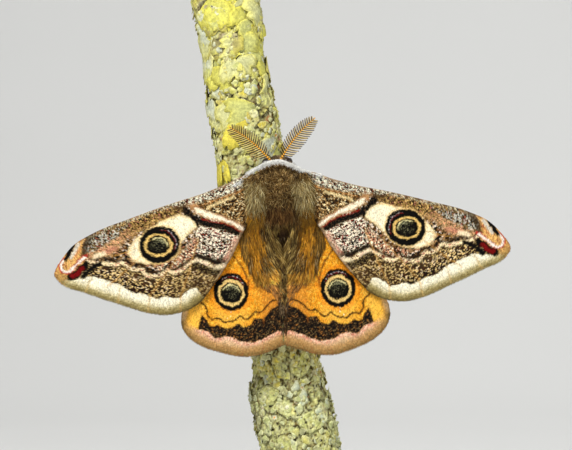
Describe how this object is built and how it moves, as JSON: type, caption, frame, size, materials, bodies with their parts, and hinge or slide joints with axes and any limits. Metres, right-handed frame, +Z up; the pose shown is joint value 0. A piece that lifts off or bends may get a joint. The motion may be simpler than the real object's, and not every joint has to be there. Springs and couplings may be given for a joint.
{
  "type": "emperor moth",
  "caption": "Male emperor moth at rest with wings spread, clinging head up to a cut length of lichened branch on a flat display base.",
  "frame": {"origin": "centre of the display base's underside", "axes": "+Z up along the moth's body towards its head, -Y the way its back and wing tops face, +X to its right"},
  "size_m": [0.0621, 0.034, 0.0755],
  "materials": {
    "base": "satin",
    "rod": "brushed",
    "bark": "lichened bark",
    "fur": "long soft hair",
    "fore_scales": "matt scales",
    "hind_scales": "matt scales",
    "feeler_horn": "horn",
    "leg_fur": "short hair",
    "eye_gloss": "gloss"
  },
  "bodies": {
    "root": {"stand_base": "base", "stand_rod": "rod", "perch_branch": "bark", "thorax": "fur", "abdomen": "fur", "head": "fur", "eye_left": "eye_gloss", "eye_right": "eye_gloss", "antenna_left": "feeler_horn", "antenna_right": "feeler_horn", "forewing_left": "fore_scales", "forewing_right": "fore_scales", "hindwing_left": "hind_scales", "hindwing_right": "hind_scales", "leg_front_left": "leg_fur", "leg_front_right": "leg_fur", "leg_middle_left": "leg_fur", "leg_middle_right": "leg_fur", "leg_hind_left": "leg_fur", "leg_hind_right": "leg_fur"}
  },
  "joints": []
}
